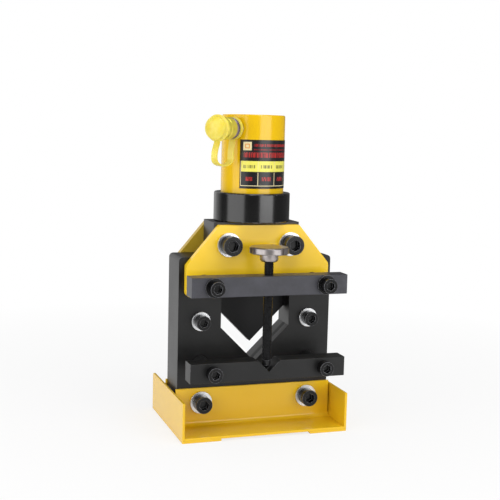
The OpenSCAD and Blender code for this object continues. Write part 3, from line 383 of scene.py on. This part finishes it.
# Cap screws: forged, with a knurled head and a hexagon socket, blackened and oiled. The sizes are
# M16 in the head block, M12 in the bars and the body, and M14 in the base.
def cap_screw(thread, length):
    """One screw along Y, its head towards -Y and the head's underside at the origin."""
    head = thread * 1.5
    tall = thread
    sides = 96
    knurl_front = -tall * 0.85
    knurl_back = -tall * 0.12
    margin = tall * 0.02
    groove = 0.965
    point = 0.001
    point_taper = 0.86
    bpy.ops.object.select_all(action="DESELECT")
    bpy.ops.mesh.primitive_cylinder_add(vertices=sides, radius=head / 2, depth=tall,
                                        location=(0, -tall / 2, 0), rotation=(math.pi / 2, 0, 0))
    screw = bpy.context.active_object
    bpy.ops.object.transform_apply(location=True, rotation=True, scale=True)
    bpy.ops.object.mode_set(mode="EDIT")
    for place in (knurl_front, knurl_back):
        bpy.ops.mesh.select_all(action="SELECT")
        bpy.ops.mesh.bisect(plane_co=(0, place, 0), plane_no=(0, 1, 0))
    bpy.ops.object.mode_set(mode="OBJECT")
    for vertex in screw.data.vertices:
        step = round(math.atan2(vertex.co.z, vertex.co.x) / (2 * math.pi) * sides + 0.25) % 3
        vertex.select = step == 0 and knurl_front - margin < vertex.co.y < knurl_back + margin
    bpy.ops.object.mode_set(mode="EDIT")
    bpy.ops.transform.resize(value=(groove, 1, groove), center_override=(0, 0, 0))
    bpy.ops.mesh.select_all(action="DESELECT")
    bpy.ops.object.mode_set(mode="OBJECT")
    for face in screw.data.polygons:
        face.select = face.normal.y > 0.9
    bpy.ops.object.mode_set(mode="EDIT")
    bpy.ops.mesh.select_mode(type="FACE")
    bpy.ops.mesh.inset(thickness=(head - thread) / 2)
    bpy.ops.mesh.extrude_region_move(TRANSFORM_OT_translate={"value": (0, length - point, 0)})
    bpy.ops.mesh.extrude_region_move(TRANSFORM_OT_translate={"value": (0, point, 0)})
    bpy.ops.transform.resize(value=(point_taper, 1, point_taper), center_override=(0, length, 0))
    bpy.ops.object.mode_set(mode="OBJECT")
    socket_radius = thread * 0.4 / math.cos(math.pi / 6)
    socket_turn = 0.3
    bpy.ops.mesh.primitive_cylinder_add(vertices=6, radius=socket_radius, depth=tall,
                                        rotation=(math.pi / 2, socket_turn, 0), location=(0, -tall * 0.95, 0))
    socket = bpy.context.active_object
    bpy.ops.object.select_all(action="DESELECT")
    screw.select_set(True)
    bpy.context.view_layer.objects.active = screw
    cut = screw.modifiers.new("socket", "BOOLEAN")
    cut.object = socket
    cut.operation = "DIFFERENCE"
    bpy.ops.object.modifier_apply(modifier=cut.name)
    bpy.data.objects.remove(socket)
    return screw


def set_out(master, name, node, material, places):
    """Puts a copy of a fastener at each place, each one turned a little further on its own axis."""
    further = 0.7
    for i, (x, y, z, back) in enumerate(places):
        piece = master.copy()
        piece.data = master.data.copy()
        piece.name = "%s_%d" % (name, i + 1)
        bpy.context.collection.objects.link(piece)
        turn = Matrix.Rotation(math.pi if back else 0.0, 4, "Z")
        twist = Matrix.Rotation(further * i, 4, "Y")
        piece.data.transform(Matrix.Translation((x, y, z)) @ turn @ twist)
        dressed(piece, node, "frame", material, width=0.0004, angle=50)
    bpy.data.objects.remove(master)


def black_oxide(name, shade):
    """Blackened steel: blue black, slightly mottled, oily, with lighter edges that are partly rubbed wear and
    partly a painted highlight.
    """
    finish = Finish(name)
    mottle = finish.cloud(0.003, 4)
    oil = finish.cloud(0.01, 3)
    edge = finish.node("ShaderNodeAttribute", {"attribute_name": "edge"}, output="Fac")
    dark = (shade * 0.7, shade * 0.7, shade * 0.74, 1)
    light = (shade * 1.5, shade * 1.5, shade * 1.6, 1)
    rubbed_steel_and_highlight = (0.26, 0.26, 0.28, 1)
    colour = finish.mixed(mottle.rise(0.3, 0.7), dark, light)
    # The lighter edges are partly rubbed wear and partly a painted highlight on the chamfers.
    colour = finish.mixed(edge * mottle.rise(0.3, 0.6) * 0.6, colour, rubbed_steel_and_highlight)
    return finish.surface(Base_Color=colour, Roughness=0.14 + oil * 0.12, Specular_IOR_Level=0.3,
                          Normal=finish.bumps(mottle, 0.00002, 0.6))


axis_y = 0.009
oxide = black_oxide("black_oxide", shade=0.004)


def pair(x, y, z, back=False):
    """Places to the left and the right, y from the cylinder's axis: (x, y, z, faces the back)."""
    return [(side * x, axis_y + y, z, back) for side in (-1, 1)]


head_x, head_z = 0.04, 0.233
base_x, base_z = 0.07, 0.035
body_x, body_z = 0.071, 0.137
upper_bar_z, lower_bar_z = 0.188, 0.085
set_out(cap_screw(thread=0.016, length=0.034), "gusset_bolt", "gusset_bolts", oxide,
        pair(head_x, -0.038, head_z) + pair(head_x, 0.038, head_z, back=True))
set_out(cap_screw(thread=0.012, length=0.0945), "upper_bar_bolt", "upper_bar_bolts", oxide,
        pair(body_x, -0.0845, upper_bar_z))
set_out(cap_screw(thread=0.012, length=0.092), "lower_bar_bolt", "lower_bar_bolts", oxide,
        pair(body_x, -0.082, lower_bar_z))
set_out(cap_screw(thread=0.012, length=0.0375), "body_bolt", "body_bolts", oxide,
        pair(body_x, -0.0275, body_z))
set_out(cap_screw(thread=0.012, length=0.0245), "rear_gusset_bolt", "rear_lower_bolts", oxide,
        pair(body_x, 0.0375, upper_bar_z, back=True))
set_out(cap_screw(thread=0.014, length=0.0215), "base_bolt", "base_bolts", oxide,
        pair(base_x, -0.0305, base_z) + pair(base_x, 0.0305, base_z, back=True))
softened("guide_screws", "guide_strip_screws", "frame", oxide, width=0.0002)
softened("fixed_blade_screws", "fixed_blade_cap_screws", "frame", oxide, width=0.0003)
softened("blade_screws", "moving_blade_cap_screws", "ram", oxide, width=0.0003)


# Washers: stamped from sheet, so one rim is rounded and the other sharp. Bright zinc plated,
# except the two on the upper bar, which are black.
def plain_washer(outer, inner, thick):
    """One washer along Y, its back at the origin and its front towards -Y."""
    bpy.ops.object.select_all(action="DESELECT")
    bpy.ops.mesh.primitive_cylinder_add(vertices=80, radius=outer / 2, depth=thick,
                                        location=(0, -thick / 2, 0), rotation=(math.pi / 2, 0, 0))
    washer = bpy.context.active_object
    bpy.ops.object.transform_apply(location=True, rotation=True, scale=True)
    bpy.ops.object.mode_set(mode="EDIT")
    bpy.ops.mesh.select_all(action="DESELECT")
    bpy.ops.object.mode_set(mode="OBJECT")
    for face in washer.data.polygons:
        face.select = abs(face.normal.y) > 0.9
    bpy.ops.object.mode_set(mode="EDIT")
    bpy.ops.mesh.select_mode(type="FACE")
    bpy.ops.mesh.inset(thickness=(outer - inner) / 2, use_individual=True)
    bpy.ops.mesh.bridge_edge_loops()
    bpy.ops.object.mode_set(mode="OBJECT")
    return washer


def zinc_plate(name, colour, rough):
    """White zinc plating: bright, cloudy, with a fine crystalline grain."""
    finish = Finish(name)
    cloudy = finish.cloud(0.006, 4, 0.6)
    grain = finish.cloud(0.0006, 2)
    dull = finish.mixed(cloudy.rise(0.3, 0.75), colour, tuple(c * 0.72 for c in colour[:3]) + (1,))
    return finish.surface(Base_Color=dull, Metallic=1.0, Roughness=rough + cloudy * 0.16,
                          Normal=finish.bumps(grain + cloudy, 0.000015, 0.5))


zinc = zinc_plate("white_zinc", (0.86, 0.87, 0.89, 1), rough=0.2)
m12_washer = {"outer": 0.024, "inner": 0.0126, "thick": 0.0025}
set_out(plain_washer(outer=0.03, inner=0.0166, thick=0.003), "gusset_washer", "gusset_washers", zinc,
        pair(head_x, -0.035, head_z) + pair(head_x, 0.035, head_z, back=True))
set_out(plain_washer(outer=0.028, inner=0.0146, thick=0.0025), "base_washer", "base_washers", zinc,
        pair(base_x, -0.028, base_z) + pair(base_x, 0.028, base_z, back=True))
set_out(plain_washer(**m12_washer), "body_washer", "body_washers", zinc,
        pair(body_x, -0.025, body_z))
set_out(plain_washer(**m12_washer), "rear_gusset_washer", "rear_lower_washers", zinc,
        pair(body_x, 0.035, upper_bar_z, back=True))
set_out(plain_washer(**m12_washer), "upper_bar_washer", "upper_bar_washers", oxide,
        pair(body_x, -0.082, upper_bar_z))


# Cylinder: a black turned collar screwed into the head block, and the yellow barrel in it. Both
# are turned steel. The barrel's enamel is a deeper and glossier yellow than the gusset plates'.
collar_black = black_paint("collar_black", shade=0.003, rough=0.08, shine=0.75)
softened("collar", "cylinder_collar", "frame", collar_black, width=0.0006, segments=3)
barrel_enamel = enamel("barrel_enamel", (0.8, 0.49, 0.002, 1), (0.84, 0.53, 0.006, 1), rough=0.14, shine=0.45)
softened("barrel", "cylinder_barrel", "frame", barrel_enamel, width=0.0006, segments=3)


# Inside the cylinder: piston with its seal and wear ring, the chromed rod, the bush and wiper that
# it runs through, and the blade holder with the pin that locks it to the rod.
machined = ground_steel("machined_steel", (0.42, 0.43, 0.45, 1), rough=0.26, direction=(1, 1, 0.05))
chromed = ground_steel("hard_chrome", (0.68, 0.68, 0.7, 1), rough=0.1, direction=(0.1, 0.1, 1))


def moulded(name, colour, rough):
    """Moulded rubber or plastic: matt, with a fine mould texture and faint dust."""
    finish = Finish(name)
    grain = finish.cloud(0.0005, 2)
    dust = finish.cloud(0.008, 4)
    pale = tuple(min(1, c * 1.35 + 0.01) for c in colour[:3]) + (1,)
    return finish.surface(Base_Color=finish.mixed(dust.rise(0.4, 0.75) * 0.6, colour, pale),
                          Roughness=rough + dust * 0.15, Normal=finish.bumps(grain, 0.00002, 0.6))


softened("piston", "cylinder_piston", "ram", machined, width=0.0003)
seal_red = moulded("seal_red", (0.45, 0.05, 0.03, 1), rough=0.45)
softened("piston_seal", "piston_lip_seal", "ram", seal_red, width=0.0003)
ring_tan = moulded("ring_tan", (0.55, 0.45, 0.27, 1), rough=0.5)
softened("wear_ring", "piston_wear_ring", "ram", ring_tan, width=0.0003)
wiper_black = moulded("wiper_black", (0.02, 0.02, 0.02, 1), rough=0.5)
softened("wiper_ring", "rod_wiper", "frame", wiper_black, width=0.0003)
softened("rod_bush", "rod_guide_bush", "frame", guide_bronze, width=0.0003)
softened("ram_rod", "chromed_ram_rod", "ram", chromed, width=0.0003)
softened("piston_screw", "piston_cap_screw", "ram", oxide, width=0.0003)
softened("blade_holder", "blade_holder_block", "ram", machined, width=0.0005)
softened("holder_pin", "holder_lock_pin", "ram", machined, width=0.0002)


# Return spring: round wire with ground ends, six turns round the rod between the collar's floor
# and the piston. It closes up as the ram goes down.
spring_steel = ground_steel("spring_steel", (0.36, 0.37, 0.39, 1), rough=0.3, direction=(1, 1, 1))
spring = softened("return_spring", "ram_return_spring", "frame", spring_steel, width=0)
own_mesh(spring)


# Data plate: a printed foil glued round the front of the barrel. It has a black field with a frame
# line, a square panel, red rows of broken strokes, and a table with a yellow heading row.
plate_radius = 39.9
plate_half_angle = 42
plate_bottom = 0.3015


def printed_foil():
    """The print, drawn in millimetres across and up from the foil's lower left corner."""
    finish = Finish("printed_foil")
    at = finish.place((0, axis_y, 0))
    parts = [finish.node("ShaderNodeSeparateXYZ", {}, {"Vector": at}, axis) for axis in ("X", "Y", "Z")]
    turn = parts[0].maths("ARCTAN2", parts[0], parts[1] * -1)
    across = (turn + math.radians(plate_half_angle)) * plate_radius
    up = (parts[2] - plate_bottom) * 1000
    dash = finish.node("ShaderNodeCombineXYZ", {}, {"X": across * 0.62, "Y": up.maths("FLOOR", up * 0.16)})
    ragged = finish.node("ShaderNodeTexNoise", {}, {"Vector": dash, "Scale": 1.0, "Detail": 1.0})
    strokes = ragged.rise(0.47, 0.5)
    black = (0.009, 0.009, 0.011, 1)
    red = (0.42, 0.02, 0.018, 1)
    cream = (0.8, 0.7, 0.4, 1)
    yellow = (0.83, 0.78, 0.12, 1)
    orange = (0.75, 0.3, 0.05, 1)
    stroke_brown = (0.09, 0.08, 0.03, 1)
    scuff_grey = (0.3, 0.3, 0.31, 1)
    head_row = up.between(21.2, 34.2) * across.between(2.0, 95.0)
    low_row = up.between(4.6, 20.2) * across.between(2.0, 95.0)
    colour = finish.mixed(head_row, black, yellow)
    frame_line = (up.between(3.6, 4.4) * across.between(1.2, 96.0)
                  + across.between(1.2, 1.8) * up.between(3.6, 34.2))
    for place in (22.6, 45.0, 67.5):
        frame_line = frame_line + across.between(place, place + 0.8) * (low_row + head_row * 0.7)
    colour = finish.mixed(frame_line, colour, cream)
    panel = across.between(4.2, 14.6) * up.between(47.2, 57.4)
    inner = across.between(6.4, 12.4) * up.between(49.4, 55.2)
    ring = inner - across.between(7.6, 11.2) * up.between(50.6, 54.0)
    colour = finish.mixed(panel, colour, cream)
    colour = finish.mixed(ring, colour, orange)
    thin_rows = (up.between(51.8, 55.0) + up.between(47.4, 48.8) * 0.7) * across.between(17.5, 92.0)
    broad_row = up.between(38.6, 44.8) * across.between(5.0, 92.0)
    low_cells = (across.between(8.0, 16.0) + across.between(28.0, 40.0)
                 + across.between(50.0, 62.0) + across.between(73.0, 86.0))
    low_marks = up.between(10.0, 14.8) * low_cells
    colour = finish.mixed((thin_rows + broad_row + low_marks) * strokes, colour, red)
    head_cells = (across.between(4.5, 20.0) + across.between(26.0, 42.0)
                  + across.between(48.0, 64.0) + across.between(71.0, 90.0))
    head_marks = up.between(25.4, 29.4) * head_cells
    colour = finish.mixed(head_marks * strokes * 0.8, colour, stroke_brown)
    scuff = finish.cloud(0.012, 4)
    colour = finish.mixed(scuff.rise(0.55, 0.8) * 0.12, colour, scuff_grey)
    return finish.surface(Base_Color=colour, Roughness=0.22 + scuff * 0.14,
                          Normal=finish.bumps(finish.cloud(0.009, 2), 0.00006, 0.5))


softened("data_plate", "barrel_data_plate", "frame", printed_foil(), width=0.0001, segments=1)


# Quick coupler: a nickel plated adapter, and a turned steel grip and nose in yellow zinc plating,
# screwed into the left of the barrel's top. Its valve is flush, so the dust cap can close over it.
coupler_z = 0.3745
coupler_heading = math.radians(-140)
coupler_turn = Matrix.Translation((0, axis_y, coupler_z)) @ Matrix.Rotation(coupler_heading, 4, "Z")


def turned(name, outline, steps=96):
    """A lathe piece along the coupler's axis, from (distance, radius) points in millimetres."""
    bpy.ops.object.select_all(action="DESELECT")
    bpy.ops.mesh.primitive_circle_add(vertices=len(outline), radius=0.01, fill_type="NOTHING")
    piece = bpy.context.active_object
    piece.name = name
    for vertex, (along, radius) in zip(piece.data.vertices, outline):
        vertex.co = (along / 1000, 0, radius / 1000)
    bpy.ops.object.mode_set(mode="EDIT")
    bpy.ops.mesh.select_all(action="SELECT")
    bpy.ops.mesh.spin(steps=steps, angle=2 * math.pi, center=(0, 0, 0), axis=(1, 0, 0))
    bpy.ops.mesh.select_all(action="SELECT")
    bpy.ops.mesh.remove_doubles(threshold=0.00001)
    bpy.ops.mesh.normals_make_consistent(inside=False)
    bpy.ops.object.mode_set(mode="OBJECT")
    return piece


plating = zinc_plate("nickel_plating", (0.74, 0.74, 0.76, 1), rough=0.12)
adapter = turned("adapter_neck", [(33.0, 3), (33.0, 10), (50.9, 10), (50.9, 12.9), (52.5, 12.9), (52.5, 3)])
adapter.data.transform(coupler_turn)
dressed(adapter, "coupler_adapter", "frame", plating, width=0.0002)


def yellow_passivate():
    """Yellow zinc plating: its thin film runs from greenish yellow to golden, and the rear rim is purple grey
    as a painted reflection.
    """
    finish = Finish("yellow_passivate")
    film = finish.cloud(0.004, 3)
    at = finish.place((0, axis_y, 0))
    x, y = [finish.node("ShaderNodeSeparateXYZ", {}, {"Vector": at}, axis) for axis in ("X", "Y")]
    along = x * math.cos(coupler_heading) + y * math.sin(coupler_heading)
    greenish, golden, rear_rim_painted_reflection = (0.72, 0.68, 0.06, 1), (0.86, 0.68, 0.1, 1), (0.2, 0.15, 0.22, 1)
    tint = finish.mixed(film.rise(0.3, 0.7), greenish, golden)
    # Painted reflection: the rear rim is coloured purple grey, standing in for the dark reflection of its
    # chamfer.
    tint = finish.mixed(along.rise(0.0565, 0.0595), rear_rim_painted_reflection, tint)
    return finish.surface(Base_Color=tint, Metallic=0.45, Roughness=0.24 + film * 0.14,
                          Normal=finish.bumps(film, 0.00001, 0.5))


grip_outline = [(52.5, 3), (52.5, 11.6), (54.6, 13.75), (56.4, 13.75), (57.0, 13.1), (57.8, 13.1),
                (58.4, 13.75), (68.4, 13.75), (69.0, 13.0), (70.2, 13.0), (70.8, 13.75), (75.5, 13.75),
                (76.5, 12.75), (76.5, 11.5), (79.6, 11.5), (80.2, 10.9), (82.6, 10.9), (83.2, 11.5),
                (87.7, 11.5), (88.5, 10.7), (88.5, 4.55), (71.5, 4.55), (71.5, 7), (54.5, 7), (54.5, 3)]
grip_sides = 120
knurl_start, knurl_end, knurl_crest = 0.0583, 0.0685, 0.01365
knurl_depth = 0.97
grip = turned("coupler_grip", grip_outline, grip_sides)
for vertex in grip.data.vertices:
    step = round(math.atan2(vertex.co.z, vertex.co.y) / (2 * math.pi) * grip_sides) % 3
    radius = math.hypot(vertex.co.y, vertex.co.z)
    vertex.select = step == 0 and radius > knurl_crest and knurl_start < vertex.co.x < knurl_end
bpy.ops.object.mode_set(mode="EDIT")
bpy.ops.transform.resize(value=(1, knurl_depth, knurl_depth), center_override=(0, 0, 0))
bpy.ops.object.mode_set(mode="OBJECT")
grip.data.transform(coupler_turn)
dressed(grip, "coupler_body", "frame", yellow_passivate(), width=0.00015)
softened("coupler_poppet", "coupler_valve", "poppet", plating, width=0.0002)
softened("coupler_spring", "coupler_valve_spring", "poppet", spring_steel, width=0)


# Dust cap: soft moulded plastic, pale yellow and slightly milky, pushed over the nose. Its strap is
# a loop of the same plastic that hangs from a ring on the adapter's neck to the cap's rim.
def soft_plastic():
    """Milky plastic that lets a little light in, faintly dirty."""
    finish = Finish("soft_plastic")
    milky = finish.cloud(0.006, 3)
    dirt = finish.cloud(0.0025, 4)
    clear, cloudy, dusty = (0.78, 0.62, 0.05, 1), (0.83, 0.7, 0.13, 1), (0.5, 0.36, 0.08, 1)
    colour = finish.mixed(milky.rise(0.3, 0.7), clear, cloudy)
    colour = finish.mixed(dirt.rise(0.62, 0.8) * 0.2, colour, dusty)
    return finish.surface(Base_Color=colour, Roughness=0.3 + milky * 0.12, Subsurface_Weight=0.35,
                          Subsurface_Radius=(0.004, 0.003, 0.001), Subsurface_Scale=1.0,
                          Normal=finish.bumps(milky + dirt * 0.3, 0.00005, 0.5))


cap_plastic = soft_plastic()
cap_outline = [(80.8, 11.9), (80.8, 15.6), (81.2, 16.1), (82.8, 16.2), (83.4, 15.6), (83.7, 14.7),
               (84.6, 14.2), (86.8, 14.2), (88.5, 13.7), (90.0, 12.3), (91.4, 10.0), (92.4, 7.1), (93.1, 3.7),
               (93.3, 0), (88.9, 0), (88.9, 10.8), (88.0, 11.9)]
cap = turned("coupler_dust_cap", cap_outline)
cap.data.transform(coupler_turn)
dressed(cap, "dust_cap", "cap", cap_plastic, width=0.0003, segments=3, angle=25)
strap = softened("cap_strap", "dust_cap_strap", None, cap_plastic, width=0.0005, segments=3)
outward = (coupler_turn.to_3x3() @ Vector((1, 0, 0))).normalized()
outer_leg, shoulder_z, lift = 0.07, 0.3565, 0.0009
for vertex in strap.data.vertices:
    if vertex.co.dot(outward) > outer_leg and vertex.co.z > shoulder_z:
        vertex.co.z += lift
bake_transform(strap)


# Hold-down screw: M12 rolled thread, blackened. It turns in the upper bar, and its swivel nose presses
# the angle bar into the notch without turning. The knob is pinned on top.
screw_y = axis_y - 0.0705
pitch = 0.00175


def rolled_thread(name, low, high, outer):
    """A threaded rod: one turn's outline swept along a helix, and its ends closed."""
    thread_depth = pitch * 0.55
    crest_start, crest_end = 0.42, 0.58
    root = outer - thread_depth
    bpy.ops.object.select_all(action="DESELECT")
    bpy.ops.mesh.primitive_plane_add(size=0.01)
    rod = bpy.context.active_object
    rod.name = name
    bpy.ops.object.mode_set(mode="EDIT")
    bpy.ops.mesh.delete(type="ONLY_FACE")
    bpy.ops.mesh.select_all(action="DESELECT")
    bpy.ops.object.mode_set(mode="OBJECT")
    rod.data.edges[0].select = True
    bpy.ops.object.mode_set(mode="EDIT")
    bpy.ops.mesh.select_mode(type="EDGE")
    bpy.ops.mesh.delete(type="EDGE")
    bpy.ops.object.mode_set(mode="OBJECT")
    links = {}
    for edge in rod.data.edges:
        for a, b in (edge.vertices, reversed(edge.vertices)):
            links.setdefault(a, []).append(b)
    chain = [next(v for v in links if len(links[v]) == 1)]
    while len(chain) < len(links):
        chain.append(next(v for v in links[chain[-1]] if v not in chain))
    outline = [(root, 0), (outer, crest_start), (outer, crest_end), (root, 1)]
    for index, (radius, part) in zip(chain, outline):
        rod.data.vertices[index].co = (radius, 0, part * pitch)
    sweep = rod.modifiers.new("thread", "SCREW")
    sweep.screw_offset = pitch
    sweep.iterations = int((high - low) / pitch)
    sweep.steps = sweep.render_steps = 20
    sweep.use_merge_vertices = True
    sweep.merge_threshold = 0.00001
    sweep.use_normal_calculate = True
    bpy.ops.object.modifier_apply(modifier=sweep.name)
    bpy.ops.object.mode_set(mode="EDIT")
    bpy.ops.mesh.select_all(action="SELECT")
    bpy.ops.mesh.remove_doubles(threshold=0.00001)
    bpy.ops.mesh.select_all(action="DESELECT")
    bpy.ops.mesh.select_mode(type="EDGE")
    bpy.ops.mesh.select_non_manifold()
    bpy.ops.mesh.edge_face_add()
    bpy.ops.mesh.select_all(action="SELECT")
    bpy.ops.mesh.normals_make_consistent(inside=False)
    bpy.ops.object.mode_set(mode="OBJECT")
    rod.data.transform(Matrix.Translation((0, screw_y, low)))
    return rod


thread_oxide = black_oxide("thread_oxide", shade=0.014)
threaded_rod = rolled_thread("hold_down_screw", low=0.0965, high=0.2172, outer=0.00598)
dressed(threaded_rod, "clamp_screw", "screw", thread_oxide, width=0)
softened("screw_nose", "swivel_nose", "nose", thread_oxide, width=0.0003)


# Knob: turned steel, straight knurl and four milled notches on its rim, zinc plated. The hub under
# it is rounded to the screw and cross drilled for the pin.
def screw_knob():
    """The knob, turned from its outline in (height, radius) millimetres, then knurled and notched."""
    outline = [(233.9, 0), (234.5, 1.5), (234.5, 23.0), (233.9, 24.1), (233.2, 24.5), (227.2, 24.5),
               (226.4, 24.0), (226.0, 23.2), (226.0, 12.6), (225.4, 11.7), (219.8, 11.6), (217.7, 10.9),
               (216.3, 9.0), (216.0, 7.4), (216.0, 0)]
    sides = 240
    knurl = 0.976
    rim_radius, rim_low, rim_high = 0.0238, 0.2262, 0.2342
    notch_size = (0.006, 0.005, 0.02)
    notch_radius, notch_z, notch_start = 0.0249, 0.2305, 22
    knob = turned("knurled_knob", outline, sides)
    knob.data.transform(Matrix.Translation((0, screw_y, 0)) @ Matrix.Rotation(math.radians(-90), 4, "Y"))
    for vertex in knob.data.vertices:
        x, y = vertex.co.x, vertex.co.y - screw_y
        step = round(math.atan2(y, x) / (2 * math.pi) * sides) % 4
        vertex.select = step < 2 and math.hypot(x, y) > rim_radius and rim_low < vertex.co.z < rim_high
    bpy.ops.object.mode_set(mode="EDIT")
    bpy.ops.transform.resize(value=(knurl, knurl, 1), center_override=(0, screw_y, 0))
    bpy.ops.object.mode_set(mode="OBJECT")
    for i in range(4):
        turn = math.radians(notch_start + 90 * i)
        place = (notch_radius * math.cos(turn), screw_y + notch_radius * math.sin(turn), notch_z)
        bpy.ops.mesh.primitive_cube_add(size=1, location=place, rotation=(0, 0, turn))
        mill = bpy.context.active_object
        mill.scale = notch_size
        bpy.ops.object.select_all(action="DESELECT")
        knob.select_set(True)
        bpy.context.view_layer.objects.active = knob
        cut = knob.modifiers.new("notch", "BOOLEAN")
        cut.object = mill
        cut.operation = "DIFFERENCE"
        bpy.ops.object.modifier_apply(modifier=cut.name)
        bpy.data.objects.remove(mill)
    return knob


knob_zinc = zinc_plate("knob_zinc", (0.46, 0.42, 0.41, 1), rough=0.24)
dressed(screw_knob(), "knob", "screw", knob_zinc, width=0, angle=25)
softened("knob_pin", "knob_lock_pin", "screw", machined, width=0.0001)
